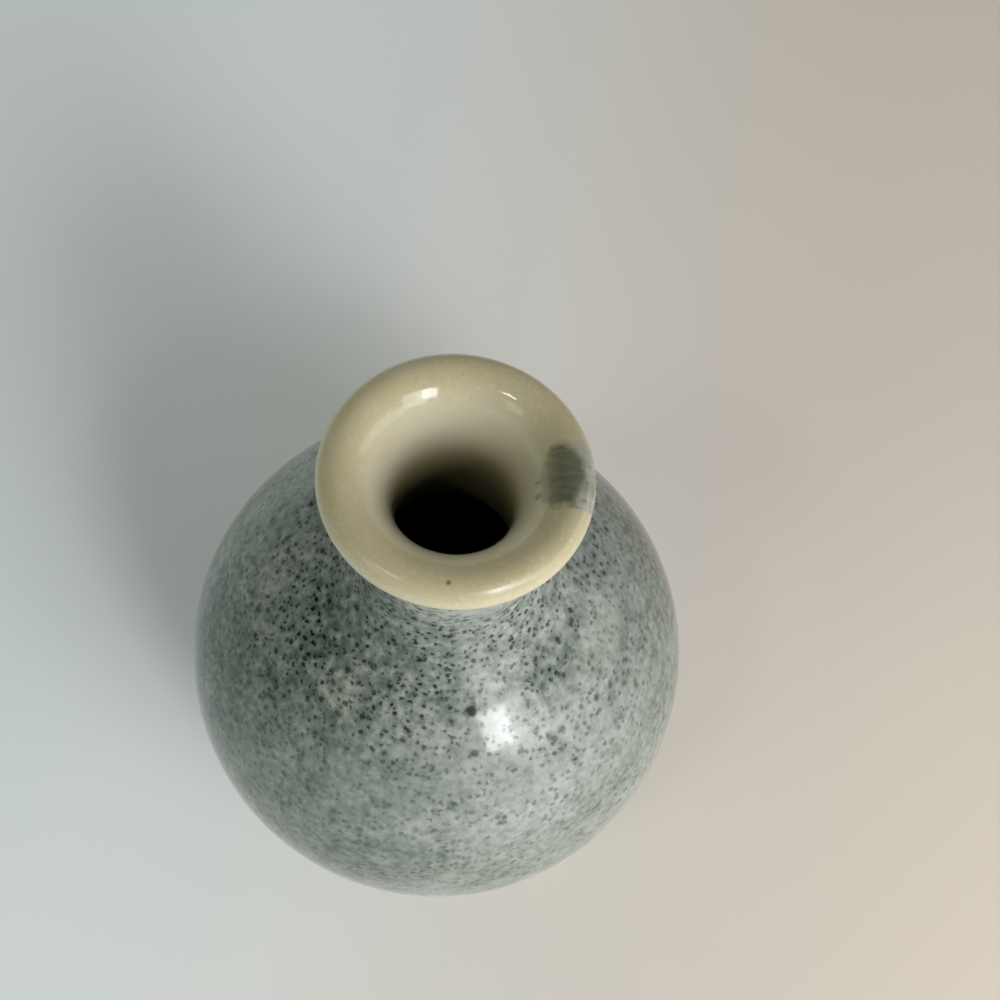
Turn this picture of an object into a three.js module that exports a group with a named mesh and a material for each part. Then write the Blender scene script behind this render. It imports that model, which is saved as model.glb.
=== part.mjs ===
// Bud vase: a globular stoneware bottle with a trumpet neck for one or two stems.
// The clay is four turned sections luted together with slip: a foot ring, a lower bowl, a shoulder dome
// and a trumpet neck. Three glaze coats cover it: a speckled one outside, a cream one over the lip and
// a liner inside. Every section is a revolve about Z, and the origin is the middle of the foot plane.
import * as THREE from "three";

// Driving dimensions in millimetres, over the glaze.
const FOOT_DIAMETER = 45;
const FOOT_HEIGHT = 3; // foot plane to the start of the belly
const FOOT_WIDTH = 4.5; // breadth of the ring that touches the table
const FOOT_RECESS = 4.5; // hollow under the base, inside the ring
const FOOT_ROUNDING = 0.8; // sponged edges of the ring
const BELLY_DIAMETER = 80;
const BELLY_HEIGHT = 77; // full height of the ellipse that shapes the belly
const SHOULDER_DIAMETER = 38; // where the neck leaves the belly
const NECK_DIAMETER = 24.6; // at the waist
const NECK_HEIGHT = 33.3; // shoulder to the top of the lip
const WAIST_DROP = 22; // top of the lip down to the waist
const FLARE_ANGLE = 34; // degrees that the neck leans out under the lip
const LIP_DIAMETER = 34;
const LIP_ROUNDING = 2.5; // radius of the lip's outer edge
const THROAT_DIAMETER = 15;
const THROAT_DEPTH = 14; // top of the lip down to the narrowest place
const WALL = 4; // belly wall with both its glazes
const BASE_THICKNESS = 4.5; // recess to the inside floor
const FLOOR_ROUNDING = 5; // height of the curve between the floor and the belly wall
const GLAZE = 0.4; // each coat
const GLAZE_STOP = 1.6; // bare clay left above the foot
const SLIP = 0.3; // slip that lutes one clay section to the next
const BELLY_LAP = 3; // height of the bowl's tongue inside the dome
const NECK_SEAT = 2; // depth of the ledge that the neck stands on, below the shoulder
const NECK_LAND = 2; // breadth of that ledge
const FOOT_TONGUE = 1.5; // how far the foot ring goes up into the base
const FOOT_LAND = 1.4; // breadth of the step outside that tongue

// Share of the way to the corner between its two directions that each blended stretch leans into.
const FULLNESS = 0.62;

// Facets: sides of each revolve, and steps along each stretch of the profile.
const SIDES = 36;
const STEPS = { foot: 1, belly: 6, waist: 5, flare: 4, lip: 5, trumpet: 7, throat: 6, rounding: 3, seam: 1 };

// Levels and radii that follow from the driving dimensions.
const bellyRadius = BELLY_DIAMETER / 2;
const bellyRise = BELLY_HEIGHT / 2;
const footRadius = FOOT_DIAMETER / 2;
const shoulderRadius = SHOULDER_DIAMETER / 2;
const lipRadius = LIP_DIAMETER / 2;
const throatRadius = THROAT_DIAMETER / 2;
const crestRadius = lipRadius - LIP_ROUNDING;
const clayWall = WALL - 2 * GLAZE;
const flare = THREE.MathUtils.degToRad(FLARE_ANGLE);
const bellyLevel = FOOT_HEIGHT + bellyRise * Math.sqrt(1 - (footRadius / bellyRadius) ** 2);
const outside = { radius: bellyRadius, rise: bellyRise };
const inside = { radius: bellyRadius - WALL, rise: bellyRise - WALL };
const shoulderLevel = levelOn(outside, shoulderRadius);
const lipLevel = shoulderLevel + NECK_HEIGHT;
const floorLevel = FOOT_RECESS + BASE_THICKNESS;
const spigotRadius = shoulderRadius - NECK_LAND;

// Height on the upper half of a belly ellipse at a radius.
function levelOn(ellipse, radius) {
  return bellyLevel + ellipse.rise * Math.sqrt(1 - (radius / ellipse.radius) ** 2);
}

// Angles on a belly ellipse, above the belly line where positive, at a height or at a radius.
function angleAtLevel(ellipse, level) {
  return Math.asin((level - bellyLevel) / ellipse.rise);
}
function angleAtRadius(ellipse, radius) {
  return Math.acos(radius / ellipse.radius);
}

// Stretch of a belly ellipse between two angles.
function bellyArc(ellipse, from, to) {
  return new THREE.EllipseCurve(0, bellyLevel, ellipse.radius, ellipse.rise, from, to, to < from);
}

// Smooth stretch between two places, each with its direction, that leans into the corner where they meet.
function blend(start, startWay, end, endWay) {
  const across = end.clone().sub(start);
  const turn = startWay.cross(endWay);
  const startReach = (FULLNESS * across.cross(endWay)) / turn;
  const endReach = (FULLNESS * startWay.cross(across)) / turn;
  return new THREE.CubicBezierCurve(
    start,
    start.clone().addScaledVector(startWay, startReach),
    end.clone().addScaledVector(endWay, -endReach),
    end,
  );
}

// The finished surface, one stretch after another from the foot, over the lip and down to the floor.
const upright = new THREE.Vector2(0, 1);
const downward = new THREE.Vector2(0, -1);
const inward = new THREE.Vector2(-1, 0);
const flaring = new THREE.Vector2(Math.sin(flare), Math.cos(flare));

const bowlStart = angleAtLevel(outside, FOOT_HEIGHT);
const glazeStart = angleAtLevel(outside, FOOT_HEIGHT + GLAZE_STOP);
const bareBand = bellyArc(outside, bowlStart, glazeStart);
const bowlOutside = bellyArc(outside, glazeStart, 0);
const domeOutside = bellyArc(
  outside,
  angleAtLevel(outside, bellyLevel + SLIP),
  angleAtRadius(outside, shoulderRadius + SLIP),
);

const shoulder = new THREE.Vector2(shoulderRadius, shoulderLevel);
const shoulderWay = bellyArc(outside, 0, angleAtRadius(outside, shoulderRadius)).getTangent(1);
const waist = new THREE.Vector2(NECK_DIAMETER / 2, lipLevel - WAIST_DROP);
const lipEdge = new THREE.EllipseCurve(
  crestRadius,
  lipLevel - LIP_ROUNDING,
  LIP_ROUNDING,
  LIP_ROUNDING,
  -flare,
  Math.PI / 2,
);
const underLip = lipEdge.getPoint(0);
const neckFoot = blend(shoulder, shoulderWay, waist, upright);
const neckFlare = blend(waist, upright, underLip, flaring);

const throatLevel = lipLevel - THROAT_DEPTH;
const trumpet = new THREE.EllipseCurve(
  crestRadius,
  throatLevel,
  crestRadius - throatRadius,
  THROAT_DEPTH,
  Math.PI / 2,
  Math.PI,
);
const throat = new THREE.Vector2(throatRadius, throatLevel);
const spigot = new THREE.Vector2(spigotRadius, levelOn(inside, spigotRadius));
const spigotWay = bellyArc(inside, angleAtRadius(inside, spigotRadius), 0).getTangent(0);
const neckInside = blend(throat, downward, spigot, spigotWay);

const roundingTop = angleAtLevel(inside, floorLevel + FLOOR_ROUNDING);
const domeInside = bellyArc(
  inside,
  angleAtRadius(inside, spigotRadius + SLIP),
  angleAtLevel(inside, bellyLevel + BELLY_LAP + SLIP),
);
const bowlInside = bellyArc(inside, angleAtLevel(inside, bellyLevel + BELLY_LAP), roundingTop);
const roundingStart = bowlInside.getPoint(1);
const roundingWay = bowlInside.getTangent(1);
const floorCorner = roundingStart.clone().addScaledVector(roundingWay, -FLOOR_ROUNDING / roundingWay.y);
const floorEdge = floorCorner.clone().addScaledVector(inward, roundingStart.distanceTo(floorCorner));
const floorRounding = new THREE.QuadraticBezierCurve(roundingStart, floorCorner, floorEdge);
const floorMiddle = new THREE.Vector2(0, floorLevel);

// Points along a stretch of the finished surface, and the clay one coat of glaze beneath each of them.
// The clay lies to the left of the way along the surface.
function stretch(curve, steps) {
  const skin = [];
  const clay = [];
  for (let step = 0; step <= steps; step += 1) {
    const place = curve.getPoint(step / steps);
    const way = curve.getTangent(step / steps);
    skin.push(place);
    clay.push(new THREE.Vector2(-way.y, way.x).multiplyScalar(GLAZE).add(place));
  }
  return { skin, clay };
}

// Stretches joined end to end, with the place that two of them share kept once.
function joined(...stretches) {
  const skin = [];
  const clay = [];
  for (const next of stretches) {
    const shared = skin.length && skin.at(-1).distanceTo(next.skin[0]) < SLIP / 2 ? 1 : 0;
    skin.push(...next.skin.slice(shared));
    clay.push(...next.clay.slice(shared));
  }
  return { skin, clay };
}

const bareWall = stretch(bareBand, STEPS.foot);
const bowlWall = stretch(bowlOutside, STEPS.belly);
const domeWall = stretch(domeOutside, STEPS.belly);
const neckWall = joined(stretch(neckFoot, STEPS.waist), stretch(neckFlare, STEPS.flare));
const lipWall = joined(stretch(lipEdge, STEPS.lip), stretch(trumpet, STEPS.trumpet));
const throatWall = stretch(neckInside, STEPS.throat);
const domeLining = stretch(domeInside, STEPS.belly);
const bowlLining = joined(
  stretch(bowlInside, STEPS.belly),
  stretch(floorRounding, STEPS.rounding),
  stretch(new THREE.LineCurve(floorEdge, floorMiddle), STEPS.seam),
);

// Revolve of a closed section, given from below, up its outer side and back down its inner side.
function turned(section) {
  const onAxis = section[0].x === 0 && section.at(-1).x === 0;
  const outline = onAxis ? section : [...section, section[0]];
  return new THREE.LatheGeometry(outline, SIDES).rotateX(Math.PI / 2);
}

function piece(name, section, material) {
  const mesh = new THREE.Mesh(turned(section), material);
  mesh.name = name;
  return mesh;
}

function place(radius, level) {
  return new THREE.Vector2(radius, level);
}

const stoneware = new THREE.MeshStandardMaterial({ color: 0xd9cdb4, roughness: 0.85, metalness: 0 });
const speckledGlaze = new THREE.MeshStandardMaterial({ color: 0x8d9a98, roughness: 0.14, metalness: 0 });
const creamGlaze = new THREE.MeshStandardMaterial({ color: 0xd2c8a8, roughness: 0.1, metalness: 0 });
const linerGlaze = new THREE.MeshStandardMaterial({ color: 0xb9b296, roughness: 0.15, metalness: 0 });

// Foot ring: bare clay, with a tongue that goes up into a groove of the base.
function footRing() {
  const outer = bareWall.clay[0].x;
  const inner = outer - FOOT_WIDTH;
  const land = outer - FOOT_LAND;
  const landLevel = FOOT_HEIGHT - SLIP;
  const tongueTop = FOOT_RECESS + FOOT_TONGUE - SLIP;
  return piece(
    "foot_ring",
    [
      place(inner + FOOT_ROUNDING, 0),
      place(outer - FOOT_ROUNDING, 0),
      place(outer, FOOT_ROUNDING),
      place(outer, landLevel),
      place(land, landLevel),
      place(land, tongueTop),
      place(inner, tongueTop),
      place(inner, FOOT_ROUNDING),
    ],
    stoneware,
  );
}

// Lower bowl: base, grooved for the foot ring, and wall up to the belly, with a tongue inside the dome.
function lowerBowl() {
  const outer = bareWall.clay[0].x;
  const grooveOuter = outer - FOOT_LAND + SLIP;
  const grooveInner = outer - FOOT_WIDTH - SLIP;
  const grooveTop = FOOT_RECESS + FOOT_TONGUE;
  const wall = joined(bareWall, bowlWall);
  const tongue = bowlWall.clay.at(-1).x - clayWall / 2 - SLIP / 2;
  return piece(
    "lower_bowl",
    [
      place(0, FOOT_RECESS),
      place(grooveInner, FOOT_RECESS),
      place(grooveInner, grooveTop),
      place(grooveOuter, grooveTop),
      place(grooveOuter, FOOT_HEIGHT),
      place(outer, FOOT_HEIGHT),
      ...wall.clay.slice(1),
      place(tongue, bowlWall.clay.at(-1).y),
      place(tongue, bowlLining.clay[0].y),
      ...bowlLining.clay,
    ],
    stoneware,
  );
}

// Shoulder dome: sits over the bowl's tongue, with a ledge round its opening for the neck.
function shoulderDome() {
  const rebate = bowlWall.clay.at(-1).x - clayWall / 2 + SLIP / 2;
  const ledgeLevel = shoulderLevel - NECK_SEAT - SLIP;
  return piece(
    "shoulder_dome",
    [
      place(rebate, domeWall.clay[0].y),
      ...domeWall.clay,
      place(domeWall.clay.at(-1).x, ledgeLevel),
      place(domeLining.clay[0].x, ledgeLevel),
      ...domeLining.clay,
      place(rebate, domeLining.clay.at(-1).y),
    ],
    stoneware,
  );
}

// Trumpet neck: flange and spigot that drop into the dome's opening, waist, flared lip and throat.
function trumpetNeck() {
  const wall = joined(neckWall, lipWall, throatWall);
  const ledgeLevel = shoulderLevel - NECK_SEAT;
  return piece(
    "trumpet_neck",
    [
      place(throatWall.clay.at(-1).x, ledgeLevel),
      place(neckWall.clay[0].x, ledgeLevel),
      ...wall.clay,
    ],
    stoneware,
  );
}

// Glaze coat between a stretch of the finished surface and the clay beneath it.
function glazeCoat(name, wall, material) {
  return piece(name, [...wall.skin, ...wall.clay.toReversed()], material);
}

const vase = new THREE.Group();
vase.add(
  footRing(),
  lowerBowl(),
  shoulderDome(),
  trumpetNeck(),
  glazeCoat("speckled_glaze", joined(bowlWall, domeWall, neckWall), speckledGlaze),
  glazeCoat("lip_glaze", lipWall, creamGlaze),
  glazeCoat("liner_glaze", joined(throatWall, domeLining, bowlLining), linerGlaze),
);

export default vase;
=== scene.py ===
"""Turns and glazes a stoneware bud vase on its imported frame, and sets it on a plain pale floor."""

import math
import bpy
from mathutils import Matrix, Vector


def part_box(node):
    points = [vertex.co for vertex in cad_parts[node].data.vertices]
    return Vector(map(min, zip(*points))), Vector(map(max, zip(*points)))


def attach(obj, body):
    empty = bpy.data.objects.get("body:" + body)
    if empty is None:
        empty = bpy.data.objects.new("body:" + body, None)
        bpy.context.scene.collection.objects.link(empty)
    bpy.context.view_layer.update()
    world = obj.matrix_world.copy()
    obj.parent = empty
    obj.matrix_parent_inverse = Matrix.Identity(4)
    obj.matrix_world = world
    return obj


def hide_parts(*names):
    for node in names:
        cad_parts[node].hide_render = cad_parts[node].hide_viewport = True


bl_info = {
    "name": "Bud Vase",
    "version": (1, 0, 0),
    "blender": (4, 5, 0),
    "location": "View3D > Sidebar > Bud Vase",
    "description": "Turns the clay sections and glaze coats of a bud vase and stages it",
    "category": "Object",
}

import bpy
import numpy as np
from bpy.props import FloatProperty, FloatVectorProperty, IntProperty, PointerProperty
from mathutils import Matrix, Vector

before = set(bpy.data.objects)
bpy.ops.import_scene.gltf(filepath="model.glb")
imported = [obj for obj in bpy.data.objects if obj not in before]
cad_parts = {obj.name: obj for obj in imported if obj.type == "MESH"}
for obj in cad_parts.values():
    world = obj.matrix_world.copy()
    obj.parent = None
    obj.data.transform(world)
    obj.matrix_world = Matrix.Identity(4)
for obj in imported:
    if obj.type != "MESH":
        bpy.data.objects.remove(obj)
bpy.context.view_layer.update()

MM = 0.001
BODY = "root"

# Levels and radii that the finishes are set out from, taken from the frame.
LIP_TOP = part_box("lip_glaze")[1].z
LIP_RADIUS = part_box("lip_glaze")[1].x
BELLY_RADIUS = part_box("speckled_glaze")[1].x
GLAZE_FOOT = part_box("speckled_glaze")[0].z

# The photograph's frame and where the middle of the lip's top lies in it, in pixels, then the width of the
# camera's sensor in millimetres and the nearest thing that it shows.
PHOTO_SIDE = 1000
LIP_PIXEL = (457.3, 467.7)
SENSOR = 36
CLIP_START = 1 * MM


def linear(hex_colour):
    """Linear RGB of an sRGB hex colour."""
    values = [int(hex_colour[i : i + 2], 16) / 255 for i in (0, 2, 4)]
    return tuple(v / 12.92 if v <= 0.04045 else ((v + 0.055) / 1.055) ** 2.4 for v in values)


class FormSettings(bpy.types.PropertyGroup):
    """Sizes of the turned form that the CAD sections leave open."""

    sides: IntProperty(
        name="Sides", description="Facets round each turned piece", default=240, min=24
    )
    ring_step: FloatProperty(
        name="Ring step",
        description="Distance between rings along a coat or a clay section",
        default=0.9 * MM,
        unit="LENGTH",
    )
    lip_step: FloatProperty(
        name="Lip step",
        description="Distance between rings along the lip and the foot, which curve more",
        default=0.3 * MM,
        unit="LENGTH",
    )
    out_of_round: FloatProperty(
        name="Out of round",
        description="How far the thrown walls draw in from a true circle",
        default=0.25 * MM,
        unit="LENGTH",
    )
    glaze_line_wave: FloatProperty(
        name="Glaze line wave",
        description="How far the dipped glaze line wanders above the foot",
        default=0.25 * MM,
        unit="LENGTH",
    )


class FinishSettings(bpy.types.PropertyGroup):
    """Colours of the clay and the glazes."""

    clay: FloatVectorProperty(
        name="Clay",
        description="Bare fired stoneware",
        subtype="COLOR",
        size=3,
        default=linear("CDB994"),
    )
    # The thin glaze's colour, which also paints the shade on the darker side.
    glaze_thin_and_shaded: FloatVectorProperty(
        name="Speckled glaze, thin",
        description="Speckled glaze where it lies thin",
        subtype="COLOR",
        size=3,
        default=linear("46574A"),
    )
    glaze: FloatVectorProperty(
        name="Speckled glaze",
        description="Speckled glaze over most of the wall",
        subtype="COLOR",
        size=3,
        default=linear("88928B"),
    )
    glaze_milky: FloatVectorProperty(
        name="Speckled glaze, thick",
        description="Speckled glaze where it lies thick and milky",
        subtype="COLOR",
        size=3,
        default=linear("ABB1AE"),
    )
    halo: FloatVectorProperty(
        name="Speck halo",
        description="Glaze stained round an iron speck",
        subtype="COLOR",
        size=3,
        default=linear("4E5A54"),
    )
    speck: FloatVectorProperty(
        name="Speck",
        description="Iron specks that melted into the glaze",
        subtype="COLOR",
        size=3,
        default=linear("111815"),
    )
    cream: FloatVectorProperty(
        name="Cream",
        description="Glaze over the lip and into the throat",
        subtype="COLOR",
        size=3,
        default=linear("C8C3A9"),
    )
    # Tan of the crest, partly painted shade where the lip's top faces away from the light.
    cream_thin_and_shaded: FloatVectorProperty(
        name="Cream, thin",
        description="Glaze on the crest of the lip, where the clay warms it",
        subtype="COLOR",
        size=3,
        default=linear("BEB48E"),
    )
    cream_thick: FloatVectorProperty(
        name="Cream, thick",
        description="Pale grains in the cream glaze",
        subtype="COLOR",
        size=3,
        default=linear("DBD8C6"),
    )
    blush: FloatVectorProperty(
        name="Blush",
        description="Cream glaze that the clay beneath turns pink",
        subtype="COLOR",
        size=3,
        default=linear("C9B79B"),
    )
    smear: FloatVectorProperty(
        name="Smear",
        description="Speckled glaze smeared over the lip",
        subtype="COLOR",
        size=3,
        default=linear("626552"),
    )
    freckle: FloatVectorProperty(
        name="Freckle",
        description="Iron freckles and the seam between the glazes",
        subtype="COLOR",
        size=3,
        default=linear("6B5A40"),
    )
    liner: FloatVectorProperty(
        name="Liner",
        description="Glaze inside the vase",
        subtype="COLOR",
        size=3,
        default=linear("8E8768"),
    )


class StageSettings(bpy.types.PropertyGroup):
    """Camera, floor and lights."""

    lens_pixels: FloatProperty(
        name="Lens", description="Focal length in pixels of the photograph", default=1250
    )
    distance: FloatProperty(
        name="Distance",
        description="From the camera to the lip along the view",
        default=148.7 * MM,
        unit="LENGTH",
    )
    depression: FloatProperty(
        name="Depression",
        description="How far the camera looks down",
        default=math.radians(64.5),
        subtype="ANGLE",
    )
    roll: FloatProperty(
        name="Roll",
        description="How far the vase leans to the right in the picture",
        default=math.radians(10.3),
        subtype="ANGLE",
    )
    floor_side: FloatProperty(
        name="Floor", description="Side of the floor", default=3.0, unit="LENGTH"
    )
    # Painted light: the floor is cooler and brighter on the left and warmer on the right.
    floor_in_cool_light: FloatVectorProperty(
        name="Floor, cool",
        description="Pale floor on the left",
        subtype="COLOR",
        size=3,
        default=linear("EEF6F9"),
    )
    floor_in_warm_light: FloatVectorProperty(
        name="Floor, warm",
        description="Pale floor on the right",
        subtype="COLOR",
        size=3,
        default=linear("E5DBD0"),
    )
    room: FloatProperty(name="Room", description="Strength of the light all round", default=0.06)


def add_node(tree, kind, settings=(), inputs=()):
    """Adds a node with its settings, and with each input set to a value or linked from a socket."""
    node = tree.nodes.new(kind)
    for name, value in dict(settings).items():
        setattr(node, name, value)
    for name, value in dict(inputs).items():
        if isinstance(value, bpy.types.NodeSocket):
            tree.links.new(value, node.inputs[name])
        else:
            node.inputs[name].default_value = value
    return node


# Turning: places this close are one place, and one this close to the axis lies on it. A cut face has a
# corner where it turns by more than the first angle, and a turned piece shades sharp past the second.
SAME_PLACE = 0.01 * MM
ON_AXIS = 0.001 * MM
CORNER_ANGLE = math.radians(40)
SHARP_ANGLE = math.radians(35)
# Waves of the thrown walls: lobes round them, phase, twist in radians per metre of height, and weight.
WALL_WAVES = ((2, 0.7, 0, 0.3), (3, 2.1, 40, 0.2))
# Waves of the dipped glaze line: number round it, phase and weight, and the height in which they fade.
LINE_WAVES = ((3, 0.4, 1), (5, 1.9, 0.7), (11, 0, 0.4))
LINE_FADE = 2 * MM


def section_of(node_name):
    """Places (radius, height) round the cut face of a turned CAD node, in order, on its +X side."""
    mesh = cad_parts[node_name].data
    key = {}
    place_of = {}
    for vertex in mesh.vertices:
        if abs(vertex.co.y) < SAME_PLACE and vertex.co.x > -SAME_PLACE:
            radius, height = max(vertex.co.x, 0), vertex.co.z
            key[vertex.index] = (round(radius / SAME_PLACE), round(height / SAME_PLACE))
            place_of[key[vertex.index]] = (radius, height)
    links = {}
    for edge in mesh.edges:
        if edge.vertices[0] in key and edge.vertices[1] in key:
            first, second = key[edge.vertices[0]], key[edge.vertices[1]]
            if first != second:
                links.setdefault(first, set()).add(second)
                links.setdefault(second, set()).add(first)
    ends = sorted(place for place in links if len(links[place]) == 1)
    walk = [ends[0] if ends else min(links)]
    while True:
        ahead = [place for place in sorted(links[walk[-1]]) if place not in walk]
        if not ahead:
            break
        walk.append(ahead[0])
    if not ends:
        walk.append(walk[0])
    return np.array([place_of[step] for step in walk])


def spline(points, step):
    """Even steps along a smooth curve through the points, a cubic by length along the chords."""
    reach = np.concatenate([[0], np.cumsum(np.linalg.norm(np.diff(points, axis=0), axis=1))])
    count = len(points)
    gaps = np.diff(reach)
    system = np.eye(count)
    right = np.zeros((count, 2))
    slopes = np.diff(points, axis=0) / gaps[:, None]
    for i in range(1, count - 1):
        system[i, i - 1 : i + 2] = gaps[i - 1], 2 * (gaps[i - 1] + gaps[i]), gaps[i]
        right[i] = 6 * (slopes[i] - slopes[i - 1])
    if count > 3:
        system[0, :2] = 1, -1
        system[-1, -2:] = -1, 1
    bends = np.linalg.solve(system, right)
    places = np.linspace(0, reach[-1], max(2, math.ceil(reach[-1] / step) + 1))
    span = np.clip(np.searchsorted(reach, places, side="right") - 1, 0, count - 2)
    gap = gaps[span][:, None]
    after = (places - reach[span])[:, None]
    before = gap - after
    first = bends[span] * (before**3 / gap - gap * before) / 6
    second = bends[span + 1] * (after**3 / gap - gap * after) / 6
    return (points[span] * before + points[span + 1] * after) / gap + first + second


def smooth_section(section, step):
    """The cut face with its curves made smooth and its corners kept."""
    closed = np.allclose(section[0], section[-1])
    ways = np.diff(section, axis=0)
    angles = np.arctan2(ways[:, 1], ways[:, 0])
    turns = np.abs((np.roll(angles, -1) - angles + math.pi) % (2 * math.pi) - math.pi)
    corners = [i + 1 for i in range(len(turns)) if turns[i] > CORNER_ANGLE]
    if closed:
        first = corners[0]
        section = np.vstack([section[first:-1], section[: first + 1]])
        corners = [c - first for c in corners]
    marks = sorted({0, *corners, len(section) - 1})
    runs = [spline(section[a : b + 1], step) for a, b in zip(marks, marks[1:])]
    return np.vstack([runs[0], *[run[1:] for run in runs[1:]]])


def handmade(radius, height, angle, form):
    """Radius on the thrown form of a place on the true one: drawn in a little, alike for all pieces."""
    share = np.clip(radius / BELLY_RADIUS, 0, 1)
    drawn = 0
    for lobes, phase, twist, weight in WALL_WAVES:
        drawn = drawn + weight * (1 - np.cos(lobes * angle + phase + twist * height))
    return radius - form.out_of_round * share * drawn


def turn_piece(name, node_name, step, form, dip=0.0):
    """Fine revolve of a CAD node's cut face, as a new object that stands for the node."""
    section = smooth_section(section_of(node_name), step)
    closed = np.allclose(section[0], section[-1])
    if closed:
        section = section[:-1]
    angles = np.arange(form.sides) * 2 * math.pi / form.sides
    wave = sum(weight * np.sin(count * angles + phase) for count, phase, weight in LINE_WAVES)
    vertices = []
    rings = []
    for radius, height in section:
        if radius < ON_AXIS:
            rings.append([len(vertices)])
            vertices.append((0, 0, height))
            continue
        near_line = math.exp(-max(height - GLAZE_FOOT, 0) / LINE_FADE)
        level = height + dip * near_line * wave
        turned = handmade(radius, height, angles, form)
        rings.append(list(range(len(vertices), len(vertices) + form.sides)))
        vertices.extend(zip(turned * np.cos(angles), turned * np.sin(angles), level))
    faces = []
    for lower, upper in zip(rings, rings[1:] + rings[:1] if closed else rings[1:]):
        for i in range(form.sides):
            j = (i + 1) % form.sides
            around = ((lower, i), (lower, j), (upper, j), (upper, i))
            corners = [ring[k % len(ring)] for ring, k in around]
            faces.append(list(dict.fromkeys(corners)))
    mesh = bpy.data.meshes.new(name)
    mesh.from_pydata(vertices, [], faces)
    mesh.validate()
    if sum(face.center.dot(face.normal) * face.area for face in mesh.polygons) < 0:
        mesh.flip_normals()
    mesh.shade_smooth()
    mesh.set_sharp_from_angle(angle=SHARP_ANGLE)
    piece = bpy.data.objects.new(name, mesh)
    bpy.context.scene.collection.objects.link(piece)
    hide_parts(node_name)
    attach(piece, BODY)
    return piece


# In the finishes from here on, lengths and places are in millimetres. A pair of lengths or of pattern
# values says where a change starts and where it is complete.
GLAZE_IOR = 1.5
NOISE_MIDDLE = 0.5
# Share of its reach within which a soft patch is full.
PATCH_HEART = 1 / 6


def new_material(name):
    """An empty node material with its shader, and places on the vase in millimetres."""
    material = bpy.data.materials.new(name)
    material.use_nodes = True
    tree = material.node_tree
    shader = tree.nodes["Principled BSDF"]
    places = add_node(tree, "ShaderNodeTexCoord").outputs["Object"]
    scaled = add_node(
        tree, "ShaderNodeVectorMath", {"operation": "SCALE"}, {0: places, "Scale": 1 / MM}
    )
    return material, tree, shader, scaled.outputs[0]


def height_of(tree, mm):
    """Height of each place above the floor."""
    return add_node(tree, "ShaderNodeSeparateXYZ", inputs={"Vector": mm}).outputs["Z"]


def radius_of(tree, mm):
    """Distance of each place from the vase's axis."""
    flat = add_node(
        tree, "ShaderNodeVectorMath", {"operation": "MULTIPLY"}, {0: mm, 1: (1, 1, 0)}
    )
    length = add_node(tree, "ShaderNodeVectorMath", {"operation": "LENGTH"}, {0: flat.outputs[0]})
    return length.outputs["Value"]


def spot(tree, mm, place, edge, full, most):
    """A soft round spot about a place: 0 past its edge, and the most where it is full."""
    away = add_node(tree, "ShaderNodeVectorMath", {"operation": "DISTANCE"}, {0: mm, 1: place})
    mask = add_node(
        tree,
        "ShaderNodeMapRange",
        {"interpolation_type": "SMOOTHSTEP"},
        {"Value": away.outputs["Value"], "From Min": edge, "From Max": full, "To Max": most},
    )
    return mask.outputs[0]


def patches(tree, mm, places):
    """Soft patches on the vase, from 0 outside them to the most in their middles."""
    patched = 0.0
    for place, reach, most in places:
        patch = spot(tree, mm, place, reach, reach * PATCH_HEART, most)
        patched = add_node(
            tree, "ShaderNodeMath", {"operation": "MAXIMUM"}, {0: patch, 1: patched}
        ).outputs[0]
    return patched


# Clouds in the speckled glaze: size, weight and detail.
GLAZE_CLOUDS = ((1.2, 0.5, 1), (3.2, 0.4, 2), (13, 0.35, 1))
# How thick the glaze lies at each height: thinner and darker round the lower belly, and thicker and milkier
# under the lip.
GLAZE_RUN = (
    (8, 0.44),
    (38, 0.36),
    (50, 0.29),
    (58, 0.41),
    (66, 0.48),
    (71, 0.47),
    (76, 0.46),
    (87, 0.68),
)
# It is made milkier and lighter towards the lit side and darker away from it, which is painted light and
# shade: the way towards the lit side, and the amount on each side.
LIT_SIDE_WAY = (0.57, -0.82, 0)
PAINTED_LIGHT_LEAN = (-0.01, 0.145)
# In patches under the lip and on the shoulder the specks crowd and the glaze curdles more; it is also made
# thinner and darker there, which is painted shade under the lip and on the shadowed left of the belly: the
# place, reach and amount of each, and how much thinner and more curdled the glaze is there.
CROWDED_AND_SHADED_PLACES = (((-10, -12, 72), 23, 1), ((15, -7.5, 74.5), 14.5, 0.65), ((-30, -9, 57), 25, 0.28))
THINNING_AND_PAINTED_SHADE = 0.12
DENSE_CURDLE = 0.8
# Patches where it is made thicker or thinner: place, reach and change of thickness. The first two lighten it
# below and right of the window's highlight as a painted sheen, and the third darkens the neck's root under
# the lip as painted shade.
POOLS_AND_PAINTED_LIGHT = (
    # Painted sheen below the window's highlight.
    ((17, -27, 58), 21, 0.16),
    # Painted sheen right of and below the highlight.
    ((35, -17, 44), 20, 0.08),
    # Painted shade at the neck's root, under the lip.
    ((-12, -10.5, 71), 11, -0.13),
    ((-9, -32, 52), 22, -0.08),
    ((-1, -21, 67), 11, 0.1),
    ((27, 10, 62), 20, -0.07),
)
# Thickness at which its thin, its usual and its milky colour show. As the thickness also carries painted
# light and shade, the thin colour shows painted shade too, and the milky one painted light.
GLAZE_STOPS = (0.16, 0.5, 0.8)


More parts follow.
